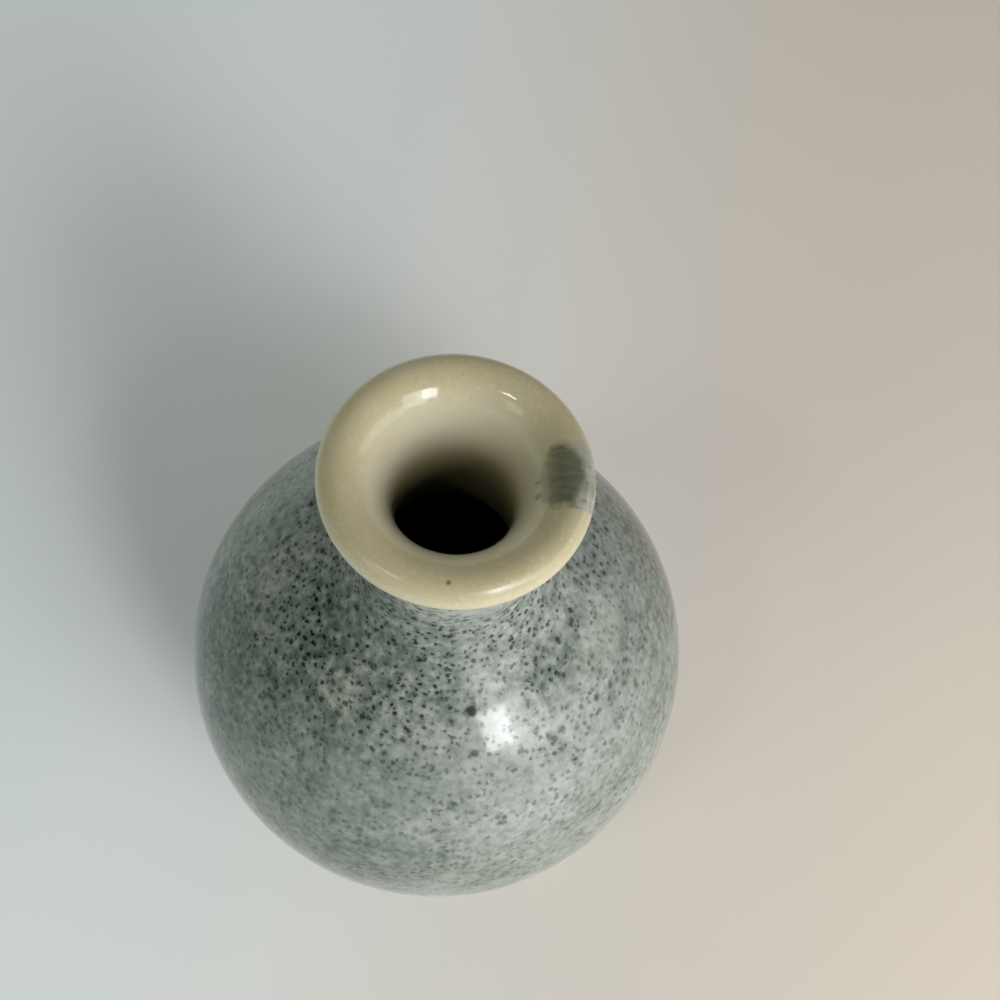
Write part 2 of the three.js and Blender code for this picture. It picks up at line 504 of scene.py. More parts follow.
def glaze_thickness(tree, mm, crowded_and_shaded):
    """How thick the glaze lies, from 0 to 1: by height, in pools and clouds, with painted light and shade.
    """
    level = add_node(
        tree, "ShaderNodeMath", {"operation": "DIVIDE"}, {0: height_of(tree, mm), 1: LIP_TOP / MM}
    )
    run = add_node(tree, "ShaderNodeValToRGB", inputs={"Fac": level.outputs[0]})
    stops = run.color_ramp.elements
    while len(stops) < len(GLAZE_RUN):
        stops.new(1)
    for stop, (height, amount) in zip(stops, GLAZE_RUN):
        stop.position = height * MM / LIP_TOP
        stop.color = (amount, amount, amount, 1)
    along = add_node(
        tree, "ShaderNodeVectorMath", {"operation": "DOT_PRODUCT"}, {0: mm, 1: LIT_SIDE_WAY}
    )
    # Painted light and shade: lighter towards the lit side, darker away from it.
    painted_light_lean = add_node(
        tree,
        "ShaderNodeMapRange",
        inputs={
            "Value": along.outputs["Value"],
            "From Min": -BELLY_RADIUS / MM,
            "From Max": BELLY_RADIUS / MM,
            "To Min": PAINTED_LIGHT_LEAN[0],
            "To Max": PAINTED_LIGHT_LEAN[1],
        },
    )
    run_with_painted_light = add_node(
        tree, "ShaderNodeMath", {"operation": "ADD"}, {0: painted_light_lean.outputs[0], 1: run.outputs["Color"]}
    )
    # Painted shade: thinner and darker in the crowded patches.
    thickness = add_node(
        tree,
        "ShaderNodeMath",
        {"operation": "MULTIPLY_ADD"},
        {0: crowded_and_shaded, 1: -THINNING_AND_PAINTED_SHADE, 2: run_with_painted_light.outputs[0]},
    ).outputs[0]
    # Pools, painted sheen and painted shade, as listed above.
    for place, reach, change in POOLS_AND_PAINTED_LIGHT:
        pool_and_painted_light = spot(tree, mm, place, reach, reach * PATCH_HEART, change)
        thickness = add_node(
            tree, "ShaderNodeMath", {"operation": "ADD"}, {0: pool_and_painted_light, 1: thickness}
        ).outputs[0]
    curdle = add_node(
        tree, "ShaderNodeMath", {"operation": "MULTIPLY_ADD"}, {0: crowded_and_shaded, 1: DENSE_CURDLE, 2: 1}
    )
    for size, weight, detail in GLAZE_CLOUDS:
        cloud = add_node(
            tree,
            "ShaderNodeTexNoise",
            inputs={"Vector": mm, "Scale": 1 / size, "Detail": detail},
        )
        centred = add_node(
            tree,
            "ShaderNodeMath",
            {"operation": "SUBTRACT"},
            {0: cloud.outputs["Fac"], 1: NOISE_MIDDLE},
        )
        weighed = add_node(
            tree, "ShaderNodeMath", {"operation": "MULTIPLY"}, {0: centred.outputs[0], 1: weight}
        )
        thickness = add_node(
            tree,
            "ShaderNodeMath",
            {"operation": "MULTIPLY_ADD"},
            {0: weighed.outputs[0], 1: curdle.outputs[0], 2: thickness},
        ).outputs[0]
    return thickness


# Iron specks: spacing, least and largest radius, reach of the halo, share of places taken, depth of the
# halo and depth of the core.
SPECK_KINDS = (
    (0.65, 0.1, 0.2, 0.4, 0.6, 0.3, 0.35),
    (0.95, 0.24, 0.44, 0.75, 0.72, 0.65, 1.0),
    (2.0, 0.34, 0.6, 1.2, 0.5, 0.7, 1.0),
)
# How crowded they are outside the crowded patches: size of the pattern, its values and the crowding.
CROWD_SIZE = 8
CROWD_NOISE = (0.3, 0.7)
CROWD_AMOUNT = (0.5, 0.95)
# They show more strongly where they crowd.
STRONG_CROWDING = (0.6, 1.4)
STRONG_AMOUNT = (0.36, 1.0)
# Their outlines are ragged: size of the notches and how far these shift the outline.
RAGGED_SIZE = 0.7
RAGGED_SHIFT = 0.85
# Heights between which they go from lying at the surface to lying deep, where they look softer, and at
# these heights how clear they are, how far they spread and how wide their hearts are.
SPECK_HEIGHTS = (70, 54)
SPECK_CLEAR = (1, 0.78)
SPECK_SPREAD = (1, 1.5)
SPECK_HEART = (0.55, 0.15)
# The one large blot: place, edge and heart, and depth.
BLOT_PLACE = (6.9, -19.2, 68.0)
BLOT_REACH = (1.25, 0.45)
BLOT_DEPTH = 0.9


def speck_crowding(tree, mm, crowded_and_shaded):
    """How crowded the specks are: uneven all over, and densest in the crowded patches."""
    uneven = add_node(
        tree, "ShaderNodeTexNoise", inputs={"Vector": mm, "Scale": 1 / CROWD_SIZE, "Detail": 2}
    )
    crowding = add_node(
        tree,
        "ShaderNodeMapRange",
        inputs={
            "Value": uneven.outputs["Fac"],
            "From Min": CROWD_NOISE[0],
            "From Max": CROWD_NOISE[1],
            "To Min": CROWD_AMOUNT[0],
            "To Max": CROWD_AMOUNT[1],
        },
    )
    total = add_node(
        tree, "ShaderNodeMath", {"operation": "ADD"}, {0: crowding.outputs[0], 1: crowded_and_shaded}
    )
    return total.outputs[0]


def ragged_places(tree, mm):
    """Places shifted a little this way and that, which makes outlines drawn from them ragged."""
    notches = add_node(
        tree, "ShaderNodeTexNoise", inputs={"Vector": mm, "Scale": 1 / RAGGED_SIZE, "Detail": 1}
    )
    centred = add_node(
        tree,
        "ShaderNodeVectorMath",
        {"operation": "SUBTRACT"},
        {0: notches.outputs["Color"], 1: (NOISE_MIDDLE,) * 3},
    )
    shifted = add_node(
        tree,
        "ShaderNodeVectorMath",
        {"operation": "MULTIPLY_ADD"},
        {0: centred.outputs[0], 1: (RAGGED_SHIFT,) * 3, 2: mm},
    )
    return shifted.outputs[0]


def iron_specks(tree, mm, ragged_mm, crowding, colour, finish):
    """The colour with specks and their halos laid over it, and how strongly the cores show."""
    strength = add_node(
        tree,
        "ShaderNodeMapRange",
        inputs={
            "Value": crowding,
            "From Min": STRONG_CROWDING[0],
            "From Max": STRONG_CROWDING[1],
            "To Min": STRONG_AMOUNT[0],
            "To Max": STRONG_AMOUNT[1],
        },
    )
    height = height_of(tree, mm)
    clear, spread, heart = (
        add_node(
            tree,
            "ShaderNodeMapRange",
            {"interpolation_type": "SMOOTHSTEP"},
            {
                "Value": height,
                "From Min": SPECK_HEIGHTS[0],
                "From Max": SPECK_HEIGHTS[1],
                "To Min": surface,
                "To Max": deep,
            },
        ).outputs[0]
        for surface, deep in (SPECK_CLEAR, SPECK_SPREAD, SPECK_HEART)
    )
    cores = 0.0
    for spacing, least, most, reach, share, halo_depth, core_depth in SPECK_KINDS:
        cells = add_node(
            tree, "ShaderNodeTexVoronoi", inputs={"Vector": ragged_mm, "Scale": 1 / spacing}
        )
        luck = add_node(tree, "ShaderNodeSeparateColor", inputs={"Color": cells.outputs["Color"]})
        size = add_node(
            tree,
            "ShaderNodeMapRange",
            inputs={"Value": luck.outputs["Green"], "To Min": least, "To Max": most},
        ).outputs[0]
        away, chance, full, edge, depth = (
            add_node(
                tree, "ShaderNodeMath", {"operation": "MULTIPLY"}, {0: first, 1: second}
            ).outputs[0]
            for first, second in (
                (cells.outputs["Distance"], spacing),
                (crowding, share),
                (size, heart),
                (size, spread),
                (clear, core_depth),
            )
        )
        there = add_node(
            tree, "ShaderNodeMath", {"operation": "LESS_THAN"}, {0: luck.outputs["Red"], 1: chance}
        )
        weight = add_node(
            tree,
            "ShaderNodeMath",
            {"operation": "MULTIPLY"},
            {0: there.outputs[0], 1: strength.outputs[0]},
        )
        # The halo is laid first and the core over it, so the last mask is the core's.
        for start, amount, stain in ((reach, halo_depth, finish.halo), (edge, depth, finish.speck)):
            mask = add_node(
                tree,
                "ShaderNodeMapRange",
                {"interpolation_type": "SMOOTHSTEP"},
                {"Value": away, "From Min": start, "From Max": full, "To Max": amount},
            )
            shown = add_node(
                tree,
                "ShaderNodeMath",
                {"operation": "MULTIPLY"},
                {0: mask.outputs[0], 1: weight.outputs[0]},
            ).outputs[0]
            colour = add_node(
                tree,
                "ShaderNodeMix",
                {"data_type": "RGBA"},
                {0: shown, 6: colour, 7: (*stain, 1)},
            ).outputs[2]
        cores = add_node(
            tree, "ShaderNodeMath", {"operation": "MAXIMUM"}, {0: shown, 1: cores}
        ).outputs[0]
    return colour, cores


def speckle_pattern(tree, mm, finish):
    """Colour of the speckled glaze, its thickness and its specks: milky mottle with iron bled into it."""
    crowded_and_shaded = patches(tree, mm, CROWDED_AND_SHADED_PLACES)
    thickness = glaze_thickness(tree, mm, crowded_and_shaded)
    # Its tone follows the thickness, so it also shows the painted light and shade.
    mottle = add_node(tree, "ShaderNodeValToRGB", inputs={"Fac": thickness})
    stops = mottle.color_ramp.elements
    stops.new(GLAZE_STOPS[1])
    tones = (finish.glaze_thin_and_shaded, finish.glaze, finish.glaze_milky)
    for stop, place, tone in zip(stops, GLAZE_STOPS, tones):
        stop.position = place
        stop.color = (*tone, 1)
    crowding = speck_crowding(tree, mm, crowded_and_shaded)
    ragged_mm = ragged_places(tree, mm)
    colour, cores = iron_specks(tree, mm, ragged_mm, crowding, mottle.outputs["Color"], finish)
    blot = spot(tree, ragged_mm, BLOT_PLACE, *BLOT_REACH, BLOT_DEPTH)
    blotted = add_node(
        tree,
        "ShaderNodeMix",
        {"data_type": "RGBA"},
        {0: blot, 6: colour, 7: (*finish.speck, 1)},
    )
    return blotted.outputs[2], thickness, cores


# Heights between which the speckled glaze goes from glassy to dry where it thins towards the neck, its
# roughness at each, and how much rougher the specks are.
DRY_HEIGHTS = (67.5, 70.0)
DRY_ROUGHNESS = (0.11, 0.4)
SPECK_ROUGHNESS = 0.08
# Its relief: slow waves where it flowed, and their size, a skin over the clouds, and dimples at specks.
FLOW_SIZE = 8
FLOW_HEIGHT = 0.04
SKIN_HEIGHT = 0.008
DIMPLE_DEPTH = 0.006


def speckled_glaze(finish):
    """Reactive stoneware glaze, dipped: glassy, milky where thick, with iron specks bled into it."""
    material, tree, shader, mm = new_material("speckled stoneware glaze")
    colour, thickness, cores = speckle_pattern(tree, mm, finish)
    tree.links.new(colour, shader.inputs["Base Color"])
    shader.inputs["IOR"].default_value = GLAZE_IOR
    dryness = add_node(
        tree,
        "ShaderNodeMapRange",
        {"interpolation_type": "SMOOTHSTEP"},
        {
            "Value": height_of(tree, mm),
            "From Min": DRY_HEIGHTS[0],
            "From Max": DRY_HEIGHTS[1],
            "To Min": DRY_ROUGHNESS[0],
            "To Max": DRY_ROUGHNESS[1],
        },
    )
    gloss = add_node(
        tree,
        "ShaderNodeMath",
        {"operation": "MULTIPLY_ADD"},
        {0: cores, 1: SPECK_ROUGHNESS, 2: dryness.outputs[0]},
    )
    tree.links.new(gloss.outputs[0], shader.inputs["Roughness"])
    flow = add_node(
        tree, "ShaderNodeTexNoise", inputs={"Vector": mm, "Scale": 1 / FLOW_SIZE, "Detail": 1}
    )
    waves = add_node(
        tree,
        "ShaderNodeBump",
        inputs={"Height": flow.outputs["Fac"], "Distance": FLOW_HEIGHT * MM},
    )
    skin = add_node(
        tree,
        "ShaderNodeBump",
        inputs={"Height": thickness, "Distance": SKIN_HEIGHT * MM, "Normal": waves.outputs[0]},
    )
    dimples = add_node(
        tree,
        "ShaderNodeBump",
        {"invert": True},
        {"Height": cores, "Distance": DIMPLE_DEPTH * MM, "Normal": skin.outputs[0]},
    )
    tree.links.new(dimples.outputs[0], shader.inputs["Normal"])
    return material


# The smear on the lip has an X of its own, from the throat to the rim, and a Y along the rim: its place,
# how far it is turned, and its reach each way.
SMEAR_PLACE = (12.3, 1.7, 101.5)
SMEAR_TURN = math.radians(8)
SMEAR_REACH = (3.7, 5.2, 4.0)
# Its frayed outline: size and amount of the fraying, and its edge in shares of the reach.
FRAY_SIZE = 1.6
FRAY_AMOUNT = 0.5
SMEAR_EDGE = (1.3, 0.9)
# It is more heavily loaded towards the rim.
LOAD_PLACES = (-2.6, 0)
LOAD_AMOUNT = (0.55, 1)
# Its strokes: how many per millimetre each way, the pattern's values, and how much of the glaze they keep.
STROKE_GRAIN = (0.45, 1.3, 0.2)
STROKE_NOISE = (0.32, 0.66)
STROKE_AMOUNT = (0.84, 1.0)
# A thin wash round it, in shares of the reach.
WASH_EDGE = (2.4, 0.8)
WASH_AMOUNT = 0.2
# Loose ends of strokes towards the throat: the pattern's values, amount and edges.
LOOSE_NOISE = (0.5, 0.6)
LOOSE_AMOUNT = 0.6
LOOSE_EDGES = (("X", -3.0, -2.6), ("X", -1.4, -2.2), ("Y", -2.6, -2.0), ("Y", 2.4, 1.8))
# A band of thicker glaze that runs over the rim: amount and edges.
BAND_AMOUNT = 0.8
BAND_EDGES = (("X", 0.6, 1.8), ("Y", -4.6, -4.4), ("Y", 5.4, 3.6))


def within_edges(tree, amount, parts, edges):
    """The amount, faded out past each of the edges."""
    for axis, start, full in edges:
        share = add_node(
            tree,
            "ShaderNodeMapRange",
            {"interpolation_type": "SMOOTHSTEP"},
            {"Value": parts.outputs[axis], "From Min": start, "From Max": full},
        )
        amount = add_node(
            tree, "ShaderNodeMath", {"operation": "MULTIPLY"}, {0: share.outputs[0], 1: amount}
        ).outputs[0]
    return amount


def smear_mask(tree, mm):
    """Where the speckled glaze was smeared thin over the lip, and where a band of it runs over the rim."""
    offset = add_node(
        tree, "ShaderNodeVectorMath", {"operation": "SUBTRACT"}, {0: mm, 1: SMEAR_PLACE}
    )
    turned = add_node(
        tree,
        "ShaderNodeVectorRotate",
        {"rotation_type": "Z_AXIS"},
        {"Vector": offset.outputs[0], "Angle": -SMEAR_TURN},
    ).outputs[0]
    parts = add_node(tree, "ShaderNodeSeparateXYZ", inputs={"Vector": turned})
    along = add_node(
        tree, "ShaderNodeVectorMath", {"operation": "MULTIPLY"}, {0: turned, 1: STROKE_GRAIN}
    )
    bristles = add_node(
        tree, "ShaderNodeTexNoise", inputs={"Vector": along.outputs[0], "Scale": 1, "Detail": 3}
    ).outputs["Fac"]
    strokes = add_node(
        tree,
        "ShaderNodeMapRange",
        inputs={
            "Value": bristles,
            "From Min": STROKE_NOISE[0],
            "From Max": STROKE_NOISE[1],
            "To Min": STROKE_AMOUNT[0],
            "To Max": STROKE_AMOUNT[1],
        },
    ).outputs[0]

    shaped = add_node(
        tree, "ShaderNodeVectorMath", {"operation": "DIVIDE"}, {0: turned, 1: SMEAR_REACH}
    )
    away = add_node(
        tree, "ShaderNodeVectorMath", {"operation": "LENGTH"}, {0: shaped.outputs[0]}
    ).outputs["Value"]
    coarse = add_node(
        tree, "ShaderNodeTexNoise", inputs={"Vector": mm, "Scale": 1 / FRAY_SIZE, "Detail": 2}
    )
    frayed = add_node(
        tree,
        "ShaderNodeMath",
        {"operation": "MULTIPLY_ADD"},
        {0: coarse.outputs["Fac"], 1: FRAY_AMOUNT, 2: away},
    )
    spread = add_node(
        tree,
        "ShaderNodeMapRange",
        {"interpolation_type": "SMOOTHSTEP"},
        {"Value": frayed.outputs[0], "From Min": SMEAR_EDGE[0], "From Max": SMEAR_EDGE[1]},
    )
    load = add_node(
        tree,
        "ShaderNodeMapRange",
        {"interpolation_type": "SMOOTHSTEP"},
        {
            "Value": parts.outputs["X"],
            "From Min": LOAD_PLACES[0],
            "From Max": LOAD_PLACES[1],
            "To Min": LOAD_AMOUNT[0],
            "To Max": LOAD_AMOUNT[1],
        },
    )
    smear = spread.outputs[0]
    for share in (load.outputs[0], strokes):
        smear = add_node(
            tree, "ShaderNodeMath", {"operation": "MULTIPLY"}, {0: smear, 1: share}
        ).outputs[0]

    wash = add_node(
        tree,
        "ShaderNodeMapRange",
        {"interpolation_type": "SMOOTHSTEP"},
        {
            "Value": away,
            "From Min": WASH_EDGE[0],
            "From Max": WASH_EDGE[1],
            "To Max": WASH_AMOUNT,
        },
    )
    loose = add_node(
        tree,
        "ShaderNodeMapRange",
        {"interpolation_type": "SMOOTHSTEP"},
        {
            "Value": bristles,
            "From Min": LOOSE_NOISE[0],
            "From Max": LOOSE_NOISE[1],
            "To Max": LOOSE_AMOUNT,
        },
    )
    for trace in (within_edges(tree, loose.outputs[0], parts, LOOSE_EDGES), wash.outputs[0]):
        smear = add_node(
            tree, "ShaderNodeMath", {"operation": "MAXIMUM"}, {0: smear, 1: trace}
        ).outputs[0]
    band = add_node(
        tree, "ShaderNodeMath", {"operation": "MULTIPLY"}, {0: strokes, 1: BAND_AMOUNT}
    )
    return smear, within_edges(tree, band.outputs[0], parts, BAND_EDGES)


# The cream glaze thins on the lip's crest and is tan there, which is partly painted shade where the top of
# the lip faces away from the light: how far down it is full, its cover on the crest and down there, and the
# clouds and grains that add to it, by size and weight. Then the cover at which its colours show.
CREST_DROP = 3.4
CREST_COVER_AND_SHADE = (-0.1, 0.65)
CREAM_CLOUD = (4, 0.55)
CREAM_GRAIN = (0.6, 0.3)
CREAM_STOPS = (0.2, 0.95)
# Mottles in it: the pattern's values, and the size and amount of the blush and of the pale grains.
MOTTLE_NOISE = (0.5, 0.75)
MOTTLES = ((5, 0.3), (0.6, 0.22))
# Pinholes: spacing, edge and heart in shares of it, and depth.
PINHOLE_SPACING = 2.8
PINHOLE_REACH = (0.07, 0.02)
PINHOLE_DEPTH = 0.4
# The one iron freckle: place, edge and heart, and depth.
FRECKLE_PLACE = (1.6, -14.6, 102.0)
FRECKLE_REACH = (0.42, 0.12)
FRECKLE_DEPTH = 0.85
# Under the lip the two glazes meet: how far down, how ragged, and how far in from the rim. Then, from that
# level, where the brown seam and the speckled glaze start and are full, and the amount of each.
EDGE_DROP = 3.55
EDGE_RAGGED = 0.7
EDGE_INSET = (2.6, 1.6)
EDGE_LAYERS = ((-0.3, 0, 0.25), (-0.1, 0.3, 1))
# Down the throat the cream thins out over the darker liner: how far down, and how far in from the rim.
THROAT_DROP = (5, 13)
THROAT_INSET = 4
# It is glassier inside the lip than on the crest: how far in from the rim, and the roughness.
GLOSS_INSET = (4, 1.5)
GLOSS_ROUGHNESS = (0.1, 0.22)
# Its relief: waves over the clouds, and pits at the pinholes.
WAVE_HEIGHT = 0.04
PIT_DEPTH = 0.01


def lip_marks(tree, mm):
    """Pinholes that came up through the cream glaze, and one iron freckle."""
    cells = add_node(
        tree, "ShaderNodeTexVoronoi", inputs={"Vector": mm, "Scale": 1 / PINHOLE_SPACING}
    )
    pinholes = add_node(
        tree,
        "ShaderNodeMapRange",
        {"interpolation_type": "SMOOTHSTEP"},
        {
            "Value": cells.outputs["Distance"],
            "From Min": PINHOLE_REACH[0],
            "From Max": PINHOLE_REACH[1],
            "To Max": PINHOLE_DEPTH,
        },
    )
    freckle = spot(tree, mm, FRECKLE_PLACE, *FRECKLE_REACH, FRECKLE_DEPTH)
    marks = add_node(
        tree, "ShaderNodeMath", {"operation": "MAXIMUM"}, {0: pinholes.outputs[0], 1: freckle}
    )
    return marks.outputs[0]


def glaze_meeting(tree, level, radius):
    """The brown seam under the lip where the two glazes meet, and the speckled glaze below it."""
    outside = add_node(
        tree,
        "ShaderNodeMapRange",
        inputs={
            "Value": radius,
            "From Min": LIP_RADIUS / MM - EDGE_INSET[0],
            "From Max": LIP_RADIUS / MM - EDGE_INSET[1],
        },
    )
    layers = []
    for start, stop, most in EDGE_LAYERS:
        edge = add_node(
            tree,
            "ShaderNodeMapRange",
            {"interpolation_type": "SMOOTHSTEP"},
            {
                "Value": level,
                "From Min": EDGE_DROP + start,
                "From Max": EDGE_DROP + stop,
                "To Max": most,
            },
        )
        shown = add_node(
            tree,
            "ShaderNodeMath",
            {"operation": "MULTIPLY"},
            {0: edge.outputs[0], 1: outside.outputs[0]},
        )
        layers.append(shown.outputs[0])
    return layers


def cream_mottles(tree, mm):
    """A blush where the clay shows through, and pale grains where the cream glaze lies thickest."""
    mottles = []
    for size, most in MOTTLES:
        noise = add_node(
            tree, "ShaderNodeTexNoise", inputs={"Vector": mm, "Scale": 1 / size, "Detail": 3}
        )
        mask = add_node(
            tree,
            "ShaderNodeMapRange",
            {"interpolation_type": "SMOOTHSTEP"},
            {
                "Value": noise.outputs["Fac"],
                "From Min": MOTTLE_NOISE[0],
                "From Max": MOTTLE_NOISE[1],
                "To Max": most,
            },
        )
        mottles.append(mask.outputs[0])
    return mottles


def throat_mask(tree, drop, radius):
    """How far the cream has thinned out over the liner, down the throat."""
    thinned = add_node(
        tree,
        "ShaderNodeMapRange",
        {"interpolation_type": "SMOOTHSTEP"},
        {"Value": drop, "From Min": THROAT_DROP[0], "From Max": THROAT_DROP[1]},
    )
    inside = add_node(
        tree,
        "ShaderNodeMath",
        {"operation": "LESS_THAN"},
        {0: radius, 1: LIP_RADIUS / MM - THROAT_INSET},
    )
    deep = add_node(
        tree,
        "ShaderNodeMath",
        {"operation": "MULTIPLY"},
        {0: thinned.outputs[0], 1: inside.outputs[0]},
    )
    return deep.outputs[0]


def cream_glaze(finish):
    """Cream glaze over the lip: glossy, tan on the crest, partly as painted shade, smeared with the other
    glaze.
    """
    material, tree, shader, mm = new_material("cream lip glaze")
    radius = radius_of(tree, mm)
    drop = add_node(
        tree, "ShaderNodeMath", {"operation": "SUBTRACT"}, {0: LIP_TOP / MM, 1: height_of(tree, mm)}
    ).outputs[0]
    clouds, grains = (
        add_node(
            tree, "ShaderNodeTexNoise", inputs={"Vector": mm, "Scale": 1 / size, "Detail": detail}
        ).outputs["Fac"]
        for size, detail in ((CREAM_CLOUD[0], 3), (CREAM_GRAIN[0], 2))
    )
    # Partly painted shade: tan on the crest, which faces away from the light.
    crest_and_shade = add_node(
        tree,
        "ShaderNodeMapRange",
        {"interpolation_type": "SMOOTHSTEP"},
        {
            "Value": drop,
            "From Min": 0,
            "From Max": CREST_DROP,
            "To Min": CREST_COVER_AND_SHADE[0],
            "To Max": CREST_COVER_AND_SHADE[1],
        },
    )
    cover = crest_and_shade.outputs[0]
    for pattern, weight in ((clouds, CREAM_CLOUD[1]), (grains, CREAM_GRAIN[1])):
        cover = add_node(
            tree,
            "ShaderNodeMath",
            {"operation": "MULTIPLY_ADD"},
            {0: pattern, 1: weight, 2: cover},
        ).outputs[0]
    tone = add_node(tree, "ShaderNodeValToRGB", inputs={"Fac": cover})
    stops = tone.color_ramp.elements
    for stop, place, cream in zip(stops, CREAM_STOPS, (finish.cream_thin_and_shaded, finish.cream)):
        stop.position = place
        stop.color = (*cream, 1)

    blush, pale = cream_mottles(tree, mm)
    marks = lip_marks(tree, mm)
    level = add_node(
        tree, "ShaderNodeMath", {"operation": "MULTIPLY_ADD"}, {0: grains, 1: EDGE_RAGGED, 2: drop}
    )
    seam, below = glaze_meeting(tree, level.outputs[0], radius)
    smear, band = smear_mask(tree, mm)
    speckle = speckle_pattern(tree, mm, finish)[0]
    colour = tone.outputs["Color"]
    for mask, layer in (
        (blush, (*finish.blush, 1)),
        (pale, (*finish.cream_thick, 1)),
        (throat_mask(tree, drop, radius), (*finish.liner, 1)),
        (marks, (*finish.freckle, 1)),
        (seam, (*finish.freckle, 1)),
        (below, speckle),
        (band, speckle),
        (smear, (*finish.smear, 1)),
    ):
        colour = add_node(
            tree, "ShaderNodeMix", {"data_type": "RGBA"}, {0: mask, 6: colour, 7: layer}
        ).outputs[2]
    tree.links.new(colour, shader.inputs["Base Color"])

    shader.inputs["IOR"].default_value = GLAZE_IOR
    gloss = add_node(
        tree,
        "ShaderNodeMapRange",
        {"interpolation_type": "SMOOTHSTEP"},
        {
            "Value": radius,
            "From Min": LIP_RADIUS / MM - GLOSS_INSET[0],
            "From Max": LIP_RADIUS / MM - GLOSS_INSET[1],
            "To Min": GLOSS_ROUGHNESS[0],
            "To Max": GLOSS_ROUGHNESS[1],
        },
    )
    tree.links.new(gloss.outputs[0], shader.inputs["Roughness"])
    waves = add_node(
        tree, "ShaderNodeBump", inputs={"Height": clouds, "Distance": WAVE_HEIGHT * MM}
    )
    pits = add_node(
        tree,
        "ShaderNodeBump",
        {"invert": True},
        {"Height": marks, "Distance": PIT_DEPTH * MM, "Normal": waves.outputs[0]},
    )
    tree.links.new(pits.outputs[0], shader.inputs["Normal"])
    return material


# The liner: the size of its clouds, how dark they are, and its roughness.
LINER_CLOUD = 8
LINER_SHADE = 0.85
LINER_ROUGHNESS = 0.15


def liner_glaze(finish):
    """Liner poured in and out again: glossy, a little duller than the lip."""
    material, tree, shader, mm = new_material("liner glaze")
    clouds = add_node(
        tree, "ShaderNodeTexNoise", inputs={"Vector": mm, "Scale": 1 / LINER_CLOUD, "Detail": 2}
    )
    tone = add_node(tree, "ShaderNodeValToRGB", inputs={"Fac": clouds.outputs["Fac"]})
    tone.color_ramp.elements[0].color = (*[LINER_SHADE * c for c in finish.liner], 1)
    tone.color_ramp.elements[1].color = (*finish.liner, 1)
    tree.links.new(tone.outputs["Color"], shader.inputs["Base Color"])
    shader.inputs["IOR"].default_value = GLAZE_IOR
    shader.inputs["Roughness"].default_value = LINER_ROUGHNESS
    return material


# Bare clay: its grit, drawn coarser than it is so that it shows, the width of its turning lines and how
# much they shade it, how dark it gets, the pattern's values at its dark and full colours, and its roughness.
CLAY_GRIT = 0.5
TURNING_WIDTH = 0.9
TURNING_SHADE = 0.5
CLAY_SHADE = 0.75
CLAY_STOPS = (0.3, 0.65)
CLAY_ROUGHNESS = 0.85
# Its freckles: spacing, edge and heart in shares of it, and depth.
CLAY_FRECKLE_SPACING = 2.4
CLAY_FRECKLE_REACH = (0.12, 0.05)
CLAY_FRECKLE_DEPTH = 0.6
# Its relief: the grit and the turning lines.
GRIT_HEIGHT = 0.04
TURNING_DEPTH = 0.15


def stoneware(finish):
    """Bare fired stoneware, turned and sponged: matt and sandy, with turning lines and iron freckles."""
    material, tree, shader, mm = new_material("bare stoneware")
    grit = add_node(
        tree, "ShaderNodeTexNoise", inputs={"Vector": mm, "Scale": 1 / CLAY_GRIT, "Detail": 3}
    ).outputs["Fac"]
    turned = add_node(
        tree,
        "ShaderNodeCombineXYZ",
        inputs={"X": radius_of(tree, mm), "Z": height_of(tree, mm)},
    )
    lines = add_node(
        tree,
        "ShaderNodeTexNoise",
        inputs={"Vector": turned.outputs[0], "Scale": 1 / TURNING_WIDTH, "Detail": 2},
    ).outputs["Fac"]
    shade = add_node(
        tree,
        "ShaderNodeMath",
        {"operation": "MULTIPLY_ADD"},
        {0: lines, 1: TURNING_SHADE, 2: -NOISE_MIDDLE * TURNING_SHADE},
    )
    mixed = add_node(
        tree, "ShaderNodeMath", {"operation": "ADD"}, {0: grit, 1: shade.outputs[0]}
    )
    tone = add_node(tree, "ShaderNodeValToRGB", inputs={"Fac": mixed.outputs[0]})
    for stop, place, share in zip(tone.color_ramp.elements, CLAY_STOPS, (CLAY_SHADE, 1)):
        stop.position = place
        stop.color = (*[share * c for c in finish.clay], 1)
    cells = add_node(
        tree, "ShaderNodeTexVoronoi", inputs={"Vector": mm, "Scale": 1 / CLAY_FRECKLE_SPACING}
    )
    freckles = add_node(
        tree,
        "ShaderNodeMapRange",
        {"interpolation_type": "SMOOTHSTEP"},
        {
            "Value": cells.outputs["Distance"],
            "From Min": CLAY_FRECKLE_REACH[0],
            "From Max": CLAY_FRECKLE_REACH[1],
            "To Max": CLAY_FRECKLE_DEPTH,
        },
    )
    colour = add_node(
        tree,
        "ShaderNodeMix",
        {"data_type": "RGBA"},
        {0: freckles.outputs[0], 6: tone.outputs["Color"], 7: (*finish.freckle, 1)},
    )
    tree.links.new(colour.outputs[2], shader.inputs["Base Color"])
    shader.inputs["Roughness"].default_value = CLAY_ROUGHNESS
    sand = add_node(
        tree, "ShaderNodeBump", inputs={"Height": grit, "Distance": GRIT_HEIGHT * MM}
    )
    grooves = add_node(
        tree,
        "ShaderNodeBump",
        inputs={"Height": lines, "Distance": TURNING_DEPTH * MM, "Normal": sand.outputs[0]},
    )
    tree.links.new(grooves.outputs[0], shader.inputs["Normal"])
    return material


# The floor's painted light goes from cool and brighter on the left to warm on the right, between these
# distances to the left and right of the vase.
FLOOR_LIGHT_FADE = (-90, 90)
FLOOR_ROUGHNESS = 0.6


